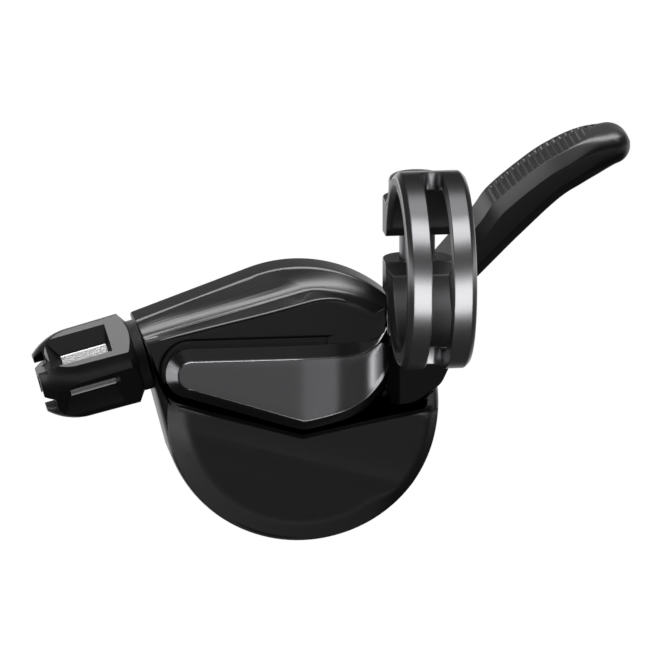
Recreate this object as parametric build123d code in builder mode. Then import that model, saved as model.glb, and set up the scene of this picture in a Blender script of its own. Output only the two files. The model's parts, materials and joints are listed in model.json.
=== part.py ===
import os
from math import cos, degrees, radians, sin, sqrt, tan

from build123d import *

os.makedirs("parts", exist_ok=True)

# Left-hand trigger shifter for a bicycle's handlebar, in millimetres.
# The origin is the centre of the clamp bore. +X runs along the bar towards the grip,
# +Y goes from the clamp's open side to the lever behind the housing, +Z is up.

# Fits
slip = 0.05
gap = 0.3
seat = 0.15

# Handlebar clamp ring
bar_r = 11.15
band_wall = 2.6
clamp_w = 9.6
band_slot = 3.0
slot_past_axis = 0.7
clamp_split = 3.7
band_bevel = 0.7
split_bevel = 1.6
rim_bevel = 0.8
band_ease = 0.1

# Pinch ears and their bolt
bolt_y = 15.0
bolt_r = 2.5
bolt_head_r = 4.0
bolt_head_h = 3.1
bolt_head_round = 0.9
bolt_key = 4.0
bolt_key_depth = 2.0
ear_h = 5.1
low_ear_h = 4.5
ear_end = 3.7
ear_round = 3.4

# Drum pod and shell of the housing
pod_x = -16.7
pod_z = -22.0
pod_r = 19.4
face_y = 9.8
ridge_y = 14.5
rear_y = 20.0
shell_wall = 1.8
front_wall = 1.7
rim_inset = 2.1
rim_depth = 2.6

# Crown over the pod: a straight wing up to the adjuster and a hollow channel along it
wing_h = 17.7
wing_drop = 2.2
wing_step = 0.4
crown_angle = 110.0
crown_turn = 30.0
crown_drop = 3.3
blend_angle = 20.0
wall_angle = 200.0
channel = (
    (0.0, 0.0), (0.05, 0.094), (0.10, 0.181), (0.16, 0.275), (0.23, 0.373), (0.31, 0.468),
    (0.40, 0.555), (0.52, 0.640), (0.66, 0.695), (0.80, 0.71), (1.0, 1.0),
)
crease_from = (-17.0, -28.75)
crease_to = (-4.5, -33.3)
crease_fall = 4.0

# Cable line and winding drum
cable_angle = 14.5
cable_r = 0.6
groove_inset = 6.5
drum_lip = 0.7
drum_w = 2.3
nipple_r = 2.1
nipple_angle = -20.0
port_r = 2.2
port_wall = 1.2
port_boss = 4.0
port_sink = 2.0
plug_len = 1.8
plug_slot = 0.8

# Stack on the main axle, from the front of the cavity to the back
plate_t = 1.0
axle_r = 2.5
flange_r = 4.4
flange_t = 0.5
spigot_r = 4.6
ratchet_t = 1.1
spacer_t = 1.0
lever_plate_t = 0.9
lid_t = 1.2
rebate = 0.9

# Ratchet and pawls
tooth_pitch = 30.0
tooth_inset = 10.8
tooth_h = 1.2
pin_r = 1.1
pawl_boss_r = 1.9
pawl_knee_rise = 1.4
pawl_width = 2.0
holding_pivot_inset = 4.0
holding_pivot_angle = 260.0
holding_reach = 54.0
drive_pivot_inset = 6.0
drive_reach = 50.0
drive_teeth_round = 4
tooth_count = 12
nose_play = 0.5
pawl_tip = 3.0
pawl_root = 12.0

# Springs
drum_spring_in = 5.2
drum_spring_t = 0.35
drum_spring_step = 0.5
drum_spring_halves = 6
lever_spring_r = 6.1
lever_spring_wire = 0.45
pawl_spring_r = 1.45
pawl_spring_wire = 0.2
barrel_spring_r = 2.75
barrel_spring_wire = 0.3
drum_spring_w = 1.2
lever_spring_pitch = 1.1
lever_spring_well = 2.4
pawl_spring_pitch = 0.8
barrel_spring_pitch = 0.9

# Screws
screw_r = 1.5
screw_head_r = 1.9
screw_head_h = 1.5
screw_bite = 3.0
screw_key = 2.0
plate_inset = 6.2
plate_lobe_r = 2.3
lid_screw_r = 1.1
lid_screw_head_r = 2.0
lid_screw_head_h = 1.1
lid_screw_bite = 4.0
lid_screw_key = 1.5
lid_post_r = 2.2
lid_post_inset = 3.2
lid_post_angles = (58.0, 330.0, 215.0)
bracket_screw_inset = 3.45
bracket_screw_angles = (160.5, 17.5)

# Wedge arm of the bracket and its neck under the ring
arm_rise = 2.4
arm_slope = 42.0
arm_gap = 0.6
arm_lip = 0.4
recess = 0.8
arm_outline = (
    (-36.1, -12.2), (-10.9, -12.2), (-1.0, -6.9), (-1.0, -18.6),
    (-4.0, -20.4), (-11.4, -23.9), (-18.2, -24.5), (-36.1, -18.95),
)
arm_rounds = (3.7, 8.0, 0.0, 0.0, 6.0, 8.0, 2.4, 3.7)
fold_x = -7.75
fold_r = 3.0
neck_front = 8.2
neck_step = 0.35
neck_outline = (
    (-clamp_w / 2, -8.0), (clamp_w / 2 - neck_step, -8.0), (clamp_w / 2 - neck_step, -14.5), (2.6, -18.5),
    (-1.1, -21.1), (-9.5, -22.0), (-9.5, -13.5), (-clamp_w / 2, -12.0),
)
neck_rounds = (0.0, 0.0, 2.0, 3.0, 4.0, 0.0, 0.0, 1.0)
stud_r = 2.4

# Thumb lever
lever_t = 4.6
hub_r = 8.0
boss_r = 4.6
lever_angle = 45.0
arm_low = -5.87
arm_high = -1.34
paddle_front = 14.0
paddle_start = ((5.3, -1.9), (8.5, -5.1))
paddle_top = ((9.0, 2.2), (11.6, 5.6), (17.2, 9.95), (24.4, 13.4), (27.6, 14.05))
paddle_tip = (30.3, 12.4)
paddle_low = ((28.6, 10.5), (23.3, 8.0), (18.2, 4.5))
bevel_depth = 1.5
bevel_drop = (0.9, -1.9)
tip_drop = (-1.2, -0.9)
arm_lap = 2.2
drive_square = 6.4
lever_plate_r = 6.0

# Lever bearing and its fastening
bush_t = 0.9
washer_r = 5.0
washer_t = 0.6
nut_flats = 8.0
nut_h = 2.6
axle_tail = 0.6

# Barrel adjuster, measured along its axis from the housing wall
stem_r = 2.1
stem_bore_r = 0.9
stem_thread = 5.0
boss_wall = 1.5
barrel_start = 0.3
barrel_neck_r = 3.9
barrel_shoulder = 2.05
barrel_r = 6.4
barrel_straight = 9.5
barrel_end = 14.9
barrel_end_r = 4.1
barrel_waist_r = 6.3
barrel_bow = (12.6, 5.6)
barrel_flat = 5.25
spring_well_r = 3.4
spring_well = 2.6
cage_from = 4.4
cage_to = 11.2
cage_r = 3.4
stem_end = 11.7
seat_from = 12.1
housing_seat_r = 2.6
window_count = 4
window_turn = 57.0
window_from = 3.8
window_to = 13.9
window_w = 7.1
slot_from = 4.7
slot_to = 11.1
slot_w = 1.7
notch_w = 2.4
notch_depth = 1.4

# Worked-out places
groove_r = pod_r - groove_inset
drum_r = groove_r + drum_lip
plate_r = pod_r - plate_inset
lid_post_ring = pod_r - lid_post_inset
bracket_screw_ring = pod_r - bracket_screw_inset
holding_pivot_r = pod_r - holding_pivot_inset
drive_pivot_r = pod_r - drive_pivot_inset
tooth_low_r = pod_r - tooth_inset
cavity_y = face_y + front_wall
plate_back = cavity_y + plate_t
drum_y = plate_back + flange_t + slip
drum_back = drum_y + drum_w
cable_y = drum_y + drum_w / 2
ratchet_back = drum_back + ratchet_t
spacer_y = ratchet_back + slip
lever_plate_y = spacer_y + spacer_t + slip
lever_plate_back = lever_plate_y + lever_plate_t
lid_y = rear_y - lid_t
lever_y = rear_y + gap
lever_back = lever_y + lever_t
nut_y = lever_back + slip + washer_t
axle_back = nut_y + nut_h + axle_tail
bush_r = axle_r + slip + bush_t
mouth_y = sqrt(bar_r**2 - clamp_split**2 / 4)
drum_spring_out = drum_spring_in + drum_spring_t + drum_spring_halves * drum_spring_step
arm_floor = face_y + recess
arm_base = face_y - arm_lip
arm_top = arm_base - arm_rise
crease_run = sqrt(sum((b - a) ** 2 for a, b in zip(crease_from, crease_to)))
crease_dir = tuple((b - a) / crease_run for a, b in zip(crease_from, crease_to))
along = (cos(radians(cable_angle)), sin(radians(cable_angle)))
across = (-along[1], along[0])
tooth_tip_r = tooth_low_r + tooth_h
pawl_knee_r = tooth_tip_r + pawl_knee_rise
nose_r = tooth_low_r + gap
holding_nose_angle = holding_pivot_angle - holding_reach
drive_nose_angle = holding_nose_angle - drive_teeth_round * tooth_pitch
drive_pivot_angle = drive_nose_angle + drive_reach
nose_gap_angle = degrees(gap / tooth_low_r) + nose_play
arm_reach = arm_lap + sum(
    (place - centre) * lean
    for place, centre, lean in zip(
        paddle_start[0], (pod_x, pod_z), (cos(radians(lever_angle)), sin(radians(lever_angle)))
    )
)


def facing(y):
    return Plane.XZ.offset(-y)


def polar(radius, angle):
    return (pod_x + radius * cos(radians(angle)), pod_z + radius * sin(radians(angle)))


def from_pod(forward, upward):
    return (
        pod_x + forward * along[0] + upward * across[0],
        pod_z + forward * along[1] + upward * across[1],
    )


def lever_point(forward, upward):
    lean = radians(lever_angle)
    return (
        pod_x + forward * cos(lean) - upward * sin(lean),
        pod_z + forward * sin(lean) + upward * cos(lean),
    )


def shifted(point, move, share):
    return (point[0] + share * move[0], point[1] + share * move[1])


def paddle_section(y, share):
    top = [shifted(point, bevel_drop, share) for point in paddle_top]
    start = shifted(paddle_start[0], bevel_drop, share)
    tip = shifted(paddle_tip, tip_drop, share)
    with BuildSketch(facing(y)) as section:
        with BuildLine():
            Line(start, top[0])
            Spline(*top, tangents=[(1, 1), (1, 0)])
            ThreePointArc(top[-1], tip, paddle_low[0])
            Spline(*paddle_low, tangents=[(-1, -0.5), (-1, -1)])
            Line(paddle_low[-1], paddle_start[1])
            Line(paddle_start[1], start)
        make_face()
    return section.sketch


def rim_at(y):
    share = max(0.0, 1 - (y - face_y) / rim_depth)
    return rim_inset * (1 - sqrt(1 - share**2))


def shell_section(y, share, rim, inset):
    side = pod_r - inset
    low = side - rim
    top = side - share * crown_drop
    start = crown_angle - share * crown_turn
    corner = from_pod(-(side - share * wing_step), wing_h - share * wing_drop - inset)
    with BuildSketch(facing(y)) as section:
        with BuildLine():
            Line(corner, polar(top, start))
            ThreePointArc(
                polar(top, start),
                polar((top + low) / 2, (start + blend_angle) / 2),
                polar(low, blend_angle),
            )
            ThreePointArc(
                polar(low, blend_angle),
                polar(low, (blend_angle + wall_angle) / 2 - 180),
                polar(low, wall_angle),
            )
            Line(polar(low, wall_angle), corner)
        make_face()
    return section.sketch


def crown_sections(inset, shift):
    sections = []
    for depth, share in channel:
        y = ridge_y - depth * (ridge_y - face_y)
        sections.append(shell_section(y + shift, share, rim_at(y), inset))
    return sections


def pawl_shape(y, pivot_r, pivot_angle, nose_angle):
    pivot = polar(pivot_r, pivot_angle)
    knee = polar(pawl_knee_r, nose_angle)
    with BuildSketch(facing(y)) as shape:
        with BuildLine() as spine:
            Line(pivot, knee)
        trace(spine.line, line_width=pawl_width)
        with Locations(pivot):
            Circle(pawl_boss_r)
        with BuildLine():
            Polyline(
                polar(pawl_knee_r + pawl_width / 2, nose_angle),
                polar(nose_r, nose_angle),
                polar(nose_r, nose_angle + pawl_tip),
                polar(pawl_knee_r, nose_angle + pawl_root),
                polar(pawl_knee_r + pawl_width / 2, nose_angle),
            )
        make_face()
        with Locations(pivot):
            Circle(pin_r + slip, mode=Mode.SUBTRACT)
    return shape.sketch


# Frames of the adjuster: along its axis, outwards from the housing wall
wall_point = from_pod(-pod_r, groove_r)
adjuster_origin = (wall_point[0], cable_y, wall_point[1])
adjuster_out = (-along[0], 0, -along[1])
adjuster_profile = Plane(origin=adjuster_origin, x_dir=adjuster_out, z_dir=(0, -1, 0))
adjuster_axis = Axis(adjuster_origin, adjuster_out)


def adjuster_plane(reach):
    origin = tuple(o + reach * d for o, d in zip(adjuster_origin, adjuster_out))
    return Plane(origin=origin, x_dir=(0, -1, 0), z_dir=adjuster_out)


def barrel_side(turn, height):
    lean = radians(turn)
    side = (sin(lean) * across[0], -cos(lean), sin(lean) * across[1])
    origin = tuple(o + height * d for o, d in zip(adjuster_origin, side))
    return Plane(origin=origin, x_dir=adjuster_out, z_dir=side)


# Frame of the cable port, along the line on which the cable head leaves the drum
nipple = polar(groove_r, nipple_angle)
port_dir = (sin(radians(nipple_angle)), 0, -cos(radians(nipple_angle)))
port_reach = sqrt(pod_r**2 - groove_r**2)


def port_plane(reach):
    origin = (nipple[0] + reach * port_dir[0], cable_y, nipple[1] + reach * port_dir[2])
    return Plane(origin=origin, x_dir=(0, 1, 0), z_dir=port_dir)


# Frame of the soft crease across the pod's face, along which the lower part falls back
crease_plane = Plane(
    origin=(crease_from[0], face_y, crease_from[1]),
    x_dir=(crease_dir[1], 0, -crease_dir[0]),
    z_dir=(crease_dir[0], 0, crease_dir[1]),
)

pod_axis = Axis((pod_x, 0, pod_z), (0, 1, 0))
lid_posts = [polar(lid_post_ring, angle) for angle in lid_post_angles]
bracket_screw_spots = [polar(bracket_screw_ring, angle) for angle in bracket_screw_angles]
holding_pivot = polar(holding_pivot_r, holding_pivot_angle)
drive_pivot = polar(drive_pivot_r, drive_pivot_angle)

# Outer form of the housing
with BuildPart() as outer_form:
    loft(crown_sections(0, 0), ruled=True)
    extrude(shell_section(ridge_y, 0, 0, 0), amount=ridge_y - rear_y)

# Housing: the moulded shell, hollow and open to the rear
with BuildPart() as main_housing:
    add(outer_form.part)
    loft(crown_sections(shell_wall, front_wall), ruled=True, mode=Mode.SUBTRACT)
    extrude(
        shell_section(ridge_y + front_wall, 0, 0, shell_wall),
        amount=ridge_y + front_wall - rear_y,
        mode=Mode.SUBTRACT,
    )
    extrude(shell_section(lid_y, 0, 0, rebate), amount=-lid_t, mode=Mode.SUBTRACT)
    with BuildSketch(facing(lid_y)):
        with Locations(*lid_posts):
            Circle(lid_post_r)
    extrude(amount=lid_y - cavity_y)
    with BuildSketch(facing(lid_y)):
        with Locations(*lid_posts):
            Circle(lid_screw_r)
    extrude(amount=lid_y - cavity_y, mode=Mode.SUBTRACT)
    with BuildSketch(adjuster_plane(0)):
        Circle(stem_r + boss_wall)
    extrude(amount=-stem_thread)
    with BuildSketch(port_plane(port_reach - port_boss)):
        Circle(port_r + port_wall)
    extrude(amount=port_boss)
    add(outer_form.part, mode=Mode.INTERSECT)
    with BuildSketch(adjuster_plane(0)):
        Circle(stem_r + slip)
    extrude(amount=-stem_thread - shell_wall, mode=Mode.SUBTRACT)
    with BuildSketch(facing(face_y)):
        with BuildLine():
            FilletPolyline(*arm_outline, radius=arm_rounds, close=True)
        make_face()
        offset(amount=arm_gap)
        with BuildSketch(mode=Mode.PRIVATE) as neck_gap:
            with BuildLine():
                FilletPolyline(*neck_outline, radius=neck_rounds, close=True)
            make_face()
            offset(amount=arm_gap)
        add(neck_gap.sketch)
    extrude(amount=-recess, mode=Mode.SUBTRACT)
    with BuildSketch(crease_plane):
        with BuildLine():
            Polyline(
                (0, 0),
                (2 * pod_r, 2 * pod_r * tan(radians(crease_fall))),
                (2 * pod_r, -recess),
                (0, -recess),
                close=True,
            )
        make_face()
    extrude(amount=2 * pod_r, both=True, mode=Mode.SUBTRACT)
    with BuildSketch(facing(face_y)):
        with Locations(*bracket_screw_spots):
            Circle(stud_r + slip)
    extrude(amount=-front_wall, mode=Mode.SUBTRACT)
    with BuildSketch(facing(cavity_y)):
        with Locations(*bracket_screw_spots):
            Circle(plate_lobe_r + seat)
        with Locations(holding_pivot):
            Circle(plate_lobe_r + seat)
    extrude(amount=-plate_t - screw_head_h - gap, mode=Mode.SUBTRACT)
    with BuildSketch(port_plane(port_reach - port_boss)):
        Circle(port_r + slip)
    extrude(amount=2 * port_boss, mode=Mode.SUBTRACT)
    with BuildSketch(Plane.YZ.offset(-clamp_w / 2 - gap)):
        Circle(bar_r + band_wall + gap)
    extrude(amount=clamp_w + 2 * gap, mode=Mode.SUBTRACT)
main_housing.part.label = "main_housing"
export_step(main_housing.part, "parts/main_housing.step")

# Lid that closes the shell from behind
with BuildPart() as rear_cover:
    extrude(shell_section(lid_y, 0, 0, rebate + seat), amount=-lid_t)
    with BuildSketch(facing(lid_y)):
        with Locations((pod_x, pod_z)):
            Circle(boss_r + gap)
        with Locations(*lid_posts):
            Circle(lid_screw_r + slip)
    extrude(amount=-lid_t, mode=Mode.SUBTRACT)
rear_cover.part.label = "rear_cover"
export_step(rear_cover.part, "parts/rear_cover.step")

with BuildPart() as cover_screws:
    with BuildSketch(facing(rear_y)):
        with Locations(*lid_posts):
            Circle(lid_screw_head_r)
    extrude(amount=-lid_screw_head_h)
    chamfer(cover_screws.edges().filter_by(GeomType.CIRCLE).group_by(Axis.Y)[-1], length=lid_screw_head_h / 2)
    with BuildSketch(facing(rear_y)):
        with Locations(*lid_posts):
            Circle(lid_screw_r - slip)
    extrude(amount=lid_t + lid_screw_bite)
    with BuildSketch(facing(rear_y + lid_screw_head_h)):
        with Locations(*lid_posts):
            RegularPolygon(lid_screw_key / 2, 6, major_radius=False)
    extrude(amount=lid_screw_head_h / 2, mode=Mode.SUBTRACT)
cover_screws.part.label = "cover_screws"
export_step(cover_screws.part, "parts/cover_screws.step")

# Plate at the front of the cavity, which carries the axle and the holding pawl
with BuildPart() as base_plate:
    with BuildSketch(facing(cavity_y)):
        with Locations((pod_x, pod_z)):
            Circle(plate_r)
        for lobe in (*bracket_screw_spots, holding_pivot):
            with BuildLine(mode=Mode.PRIVATE) as spoke:
                Line((pod_x, pod_z), lobe)
            trace(spoke.line, line_width=2 * plate_lobe_r)
            with Locations(lobe):
                Circle(plate_lobe_r)
        with Locations((pod_x, pod_z)):
            Circle(axle_r + slip, mode=Mode.SUBTRACT)
        with Locations(*bracket_screw_spots):
            Circle(screw_r + slip, mode=Mode.SUBTRACT)
        with Locations(holding_pivot):
            Circle(pin_r + slip, mode=Mode.SUBTRACT)
    extrude(amount=-plate_t)
base_plate.part.label = "base_plate"
export_step(base_plate.part, "parts/base_plate.step")

# Form of the wedge arm, which bends back in a round fold where it meets the ring
with BuildPart() as arm_form:
    with BuildSketch(facing(arm_floor)):
        with BuildLine():
            FilletPolyline(*arm_outline, radius=arm_rounds, close=True)
        make_face()
    extrude(amount=arm_floor - arm_base)
    with BuildSketch(facing(arm_base)):
        with BuildLine():
            FilletPolyline(*arm_outline, radius=arm_rounds, close=True)
        make_face()
    extrude(amount=arm_rise, taper=arm_slope)
    with BuildSketch(Plane.XY):
        with BuildLine():
            ThreePointArc(
                (fold_x + fold_r, arm_top + fold_r),
                (fold_x + fold_r * sin(radians(45)), arm_top + fold_r * (1 - sin(radians(45)))),
                (fold_x, arm_top),
            )
            Polyline(
                (fold_x, arm_top),
                (fold_x, arm_top - fold_r),
                (clamp_w, arm_top - fold_r),
                (clamp_w, arm_top + fold_r),
                (fold_x + fold_r, arm_top + fold_r),
            )
        make_face()
    extrude(amount=2 * pod_r, both=True, mode=Mode.SUBTRACT)

# Bracket: the slotted ring, its two ears, the neck and the wedge arm, forged in one piece
with BuildPart() as clamp_bracket:
    with BuildSketch(Plane.YZ.offset(-clamp_w / 2)):
        Circle(bar_r + band_wall)
    extrude(amount=clamp_w)
    chamfer(clamp_bracket.edges().filter_by(GeomType.CIRCLE), length=band_bevel)
    with BuildSketch(Plane.XY.offset(-low_ear_h - clamp_split / 2)) as ear:
        with Locations((0, (bar_r + bolt_y + ear_end) / 2)):
            Rectangle(clamp_w, bolt_y + ear_end - bar_r)
        fillet(ear.vertices().group_by(Axis.Y)[-1], ear_round)
    extrude(amount=low_ear_h + clamp_split + ear_h)
    add(arm_form.part)
    with BuildSketch(facing(arm_floor)):
        with BuildLine():
            FilletPolyline(*neck_outline, radius=neck_rounds, close=True)
        make_face()
    extrude(amount=arm_floor - neck_front)
    with BuildSketch(facing(cavity_y)):
        with Locations(*bracket_screw_spots):
            Circle(stud_r)
    extrude(amount=cavity_y - arm_base)
    with BuildSketch(Plane.YZ.offset(-clamp_w)):
        Circle(bar_r)
    extrude(amount=2 * clamp_w, mode=Mode.SUBTRACT)
    with BuildSketch(Plane.YZ.offset(-clamp_w)):
        Circle(bar_r + band_ease)
        with Locations((bar_r, 0)):
            Rectangle(2 * bar_r, 4 * bar_r, mode=Mode.SUBTRACT)
    extrude(amount=2 * clamp_w, mode=Mode.SUBTRACT)
    with BuildSketch(Plane.XY):
        with Locations((0, slot_past_axis - clamp_w)):
            Rectangle(band_slot, 2 * clamp_w - band_slot)
        with Locations((0, slot_past_axis - band_slot / 2)):
            Circle(band_slot / 2)
    extrude(amount=2 * bar_r, both=True, mode=Mode.SUBTRACT)
    with BuildSketch(Plane.YZ.offset(-clamp_w)):
        with Locations((bolt_y, 0)):
            Rectangle(bolt_y, clamp_split)
    extrude(amount=2 * clamp_w, mode=Mode.SUBTRACT)
    mouth = clamp_bracket.edges().filter_by(Axis.X).filter_by(
        lambda edge: abs(edge.center().Y - mouth_y) < slip and abs(edge.center().Z) < clamp_split
    )
    chamfer(mouth, length=split_bevel)
    with BuildSketch(Plane.XZ):
        for end in (-clamp_w / 2, clamp_w / 2):
            with Locations((end, -bar_r)):
                Rectangle(sqrt(2) * rim_bevel, sqrt(2) * rim_bevel, rotation=45)
    revolve(axis=Axis.X, revolution_arc=180, mode=Mode.SUBTRACT)
    with BuildSketch(Plane.XY):
        with Locations((0, bolt_y)):
            Circle(bolt_r + slip)
    extrude(amount=bar_r, both=True, mode=Mode.SUBTRACT)
    with BuildSketch(Plane.XY.offset(ear_h + clamp_split / 2)):
        with Locations((0, bolt_y)):
            Circle(bolt_head_r + seat)
    extrude(amount=bar_r, mode=Mode.SUBTRACT)
    with BuildSketch(facing(cavity_y)):
        with Locations(*bracket_screw_spots):
            Circle(screw_r + slip)
    extrude(amount=screw_bite, mode=Mode.SUBTRACT)
clamp_bracket.part.label = "clamp_bracket"
export_step(clamp_bracket.part, "parts/clamp_bracket.step")

with BuildPart() as clamp_bolt:
    with BuildSketch(Plane.XY.offset(ear_h + clamp_split / 2)):
        with Locations((0, bolt_y)):
            Circle(bolt_head_r)
    extrude(amount=bolt_head_h)
    fillet(clamp_bolt.edges().filter_by(GeomType.CIRCLE).group_by(Axis.Z)[-1], bolt_head_round)
    with BuildSketch(Plane.XY.offset(ear_h + clamp_split / 2)):
        with Locations((0, bolt_y)):
            Circle(bolt_r)
    extrude(amount=-low_ear_h - clamp_split - ear_h)
    with BuildSketch(Plane.XY.offset(ear_h + clamp_split / 2 + bolt_head_h)):
        with Locations((0, bolt_y)):
            RegularPolygon(bolt_key / 2, 6, major_radius=False)
    extrude(amount=-bolt_key_depth, mode=Mode.SUBTRACT)
clamp_bolt.part.label = "clamp_bolt"
export_step(clamp_bolt.part, "parts/clamp_bolt.step")

with BuildPart() as bracket_screws:
    with BuildSketch(facing(plate_back)):
        with Locations(*bracket_screw_spots):
            Circle(screw_head_r)
    extrude(amount=-screw_head_h)
    with BuildSketch(facing(plate_back)):
        with Locations(*bracket_screw_spots):
            Circle(screw_r)
    extrude(amount=plate_t + screw_bite - gap)
    with BuildSketch(facing(plate_back + screw_head_h)):
        with Locations(*bracket_screw_spots):
            RegularPolygon(screw_key / 2, 6, major_radius=False)
    extrude(amount=screw_head_h / 2, mode=Mode.SUBTRACT)
bracket_screws.part.label = "bracket_screws"
export_step(bracket_screws.part, "parts/bracket_screws.step")

# Axle: a flanged pin riveted in the base plate, threaded at its rear end
with BuildPart() as main_axle:
    with BuildSketch(facing(cavity_y)):
        with Locations((pod_x, pod_z)):
            Circle(axle_r)
    extrude(amount=cavity_y - axle_back)
    chamfer(main_axle.edges().filter_by(GeomType.CIRCLE).group_by(Axis.Y)[-1], length=axle_tail / 2)
    with BuildSketch(facing(plate_back)):
        with Locations((pod_x, pod_z)):
            Circle(flange_r)
    extrude(amount=-flange_t)
main_axle.part.label = "main_axle"
export_step(main_axle.part, "parts/main_axle.step")

with BuildPart() as axle_washer:
    with BuildSketch(facing(lever_back + slip)):
        with Locations((pod_x, pod_z)):
            Circle(washer_r)
            Circle(axle_r + slip, mode=Mode.SUBTRACT)
    extrude(amount=-washer_t)
axle_washer.part.label = "axle_washer"
export_step(axle_washer.part, "parts/axle_washer.step")

with BuildPart() as axle_nut:
    with BuildSketch(facing(nut_y)):
        with Locations((pod_x, pod_z)):
            RegularPolygon(nut_flats / 2, 6, major_radius=False)
            Circle(axle_r + slip, mode=Mode.SUBTRACT)
    extrude(amount=-nut_h)
axle_nut.part.label = "axle_nut"
export_step(axle_nut.part, "parts/axle_nut.step")

# Drum: cable groove in its rim, a well for its spring and a pocket for the cable's head
with BuildPart() as winding_drum:
    with BuildSketch(facing(drum_y)):
        with Locations((pod_x, pod_z)):
            Circle(drum_r)
    extrude(amount=-drum_w)
    with BuildSketch(facing(drum_back)):
        with Locations((pod_x, pod_z)):
            Circle(spigot_r)
    extrude(amount=-ratchet_t)
    with BuildSketch(Plane(origin=(pod_x, cable_y, pod_z), x_dir=(1, 0, 0), z_dir=(0, 0, 1))):
        with BuildLine():
            Polyline(
                (groove_r - cable_r, -cable_r),
                (groove_r - cable_r, cable_r),
                (drum_r + cable_r, 2 * cable_r),
                (drum_r + cable_r, -2 * cable_r),
                close=True,
            )
        make_face()
    revolve(axis=pod_axis, mode=Mode.SUBTRACT)
    with BuildSketch(facing(drum_y)):
        with Locations((pod_x, pod_z)):
            Circle(drum_spring_out + gap)
            Circle(drum_spring_in - gap, mode=Mode.SUBTRACT)
    extrude(amount=-drum_spring_w, mode=Mode.SUBTRACT)
    with BuildSketch(facing(drum_y)):
        with Locations(polar(groove_r - cable_r, nipple_angle)):
            Circle(nipple_r)
        with Locations((pod_x, pod_z)):
            Circle(axle_r + slip)
    extrude(amount=-drum_w - ratchet_t, mode=Mode.SUBTRACT)
winding_drum.part.label = "winding_drum"
export_step(winding_drum.part, "parts/winding_drum.step")

with BuildPart() as ratchet_plate:
    with BuildSketch(facing(drum_back)):
        with BuildLine():
            teeth = []
            for tooth in range(tooth_count):
                foot = holding_nose_angle - nose_gap_angle + tooth * tooth_pitch
                teeth += [polar(tooth_low_r, foot), polar(tooth_tip_r, foot + tooth_pitch)]
            Polyline(*teeth, close=True)
        make_face()
        with Locations((pod_x, pod_z)):
            Circle(spigot_r + slip, mode=Mode.SUBTRACT)
    extrude(amount=-ratchet_t)
ratchet_plate.part.label = "ratchet_plate"
export_step(ratchet_plate.part, "parts/ratchet_plate.step")

# Flat spiral spring in the drum's well, wound in half turns
with BuildPart() as drum_return_spring:
    with BuildSketch(facing(drum_y + slip)):
        with BuildLine() as spiral:
            for half in range(drum_spring_halves):
                CenterArc(
                    (pod_x + (half % 2) * drum_spring_step, pod_z),
                    drum_spring_in + drum_spring_t / 2 + half * drum_spring_step,
                    180 * (half % 2),
                    180,
                )
        trace(spiral.edges(), line_width=drum_spring_t)
    extrude(amount=2 * slip - drum_spring_w)
drum_return_spring.part.label = "drum_return_spring"
export_step(drum_return_spring.part, "parts/drum_return_spring.step")

with BuildPart() as drum_spacer:
    with BuildSketch(facing(spacer_y)):
        with Locations((pod_x, pod_z)):
            Circle(flange_r)
            Circle(axle_r + slip, mode=Mode.SUBTRACT)
    extrude(amount=-spacer_t)
drum_spacer.part.label = "drum_spacer"
export_step(drum_spacer.part, "parts/drum_spacer.step")

# Pawl on the base plate, which stops the drum from unwinding
with BuildPart() as holding_pawl:
    extrude(
        pawl_shape(drum_back + slip, holding_pivot_r, holding_pivot_angle, holding_nose_angle),
        amount=2 * slip - ratchet_t,
    )
holding_pawl.part.label = "holding_pawl"
export_step(holding_pawl.part, "parts/holding_pawl.step")

with BuildPart() as holding_pawl_pin:
    with BuildSketch(facing(cavity_y)):
        with Locations(holding_pivot):
            Circle(pin_r)
    extrude(amount=cavity_y - ratchet_back - gap)
holding_pawl_pin.part.label = "holding_pawl_pin"
export_step(holding_pawl_pin.part, "parts/holding_pawl_pin.step")

with BuildPart() as holding_pawl_spring:
    with BuildLine() as holding_coil:
        Helix(
            pitch=pawl_spring_pitch,
            height=drum_back - plate_back - 2 * (pawl_spring_wire + slip),
            radius=pawl_spring_r,
            center=(holding_pivot[0], plate_back + pawl_spring_wire + slip, holding_pivot[1]),
            direction=(0, 1, 0),
        )
    with BuildSketch(Plane(origin=holding_coil.line @ 0, x_dir=(0, 1, 0), z_dir=holding_coil.line % 0)):
        Rectangle(2 * pawl_spring_wire, 2 * pawl_spring_wire)
    sweep(is_frenet=True)
holding_pawl_spring.part.label = "holding_pawl_spring"
export_step(holding_pawl_spring.part, "parts/holding_pawl_spring.step")

# Plate inside the housing that the lever turns, with the pawl that drives the ratchet
with BuildPart() as lever_plate:
    with BuildSketch(facing(lever_plate_y)):
        with Locations((pod_x, pod_z)):
            Circle(lever_plate_r)
        with BuildLine(mode=Mode.PRIVATE) as plate_arm:
            Line((pod_x, pod_z), drive_pivot)
        trace(plate_arm.line, line_width=2 * pawl_boss_r)
        with Locations(drive_pivot):
            Circle(pawl_boss_r)
            Circle(pin_r + slip, mode=Mode.SUBTRACT)
        with Locations((pod_x, pod_z)):
            Rectangle(drive_square + 2 * slip, drive_square + 2 * slip, mode=Mode.SUBTRACT)
    extrude(amount=-lever_plate_t)
lever_plate.part.label = "lever_plate"
export_step(lever_plate.part, "parts/lever_plate.step")

with BuildPart() as drive_pawl:
    extrude(
        pawl_shape(drum_back + slip, drive_pivot_r, drive_pivot_angle, drive_nose_angle),
        amount=2 * slip - ratchet_t,
    )
drive_pawl.part.label = "drive_pawl"
export_step(drive_pawl.part, "parts/drive_pawl.step")

with BuildPart() as drive_pawl_pin:
    with BuildSketch(facing(drum_back + slip)):
        with Locations(drive_pivot):
            Circle(pin_r)
    extrude(amount=drum_back + slip - lever_plate_back)
drive_pawl_pin.part.label = "drive_pawl_pin"
export_step(drive_pawl_pin.part, "parts/drive_pawl_pin.step")

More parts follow.
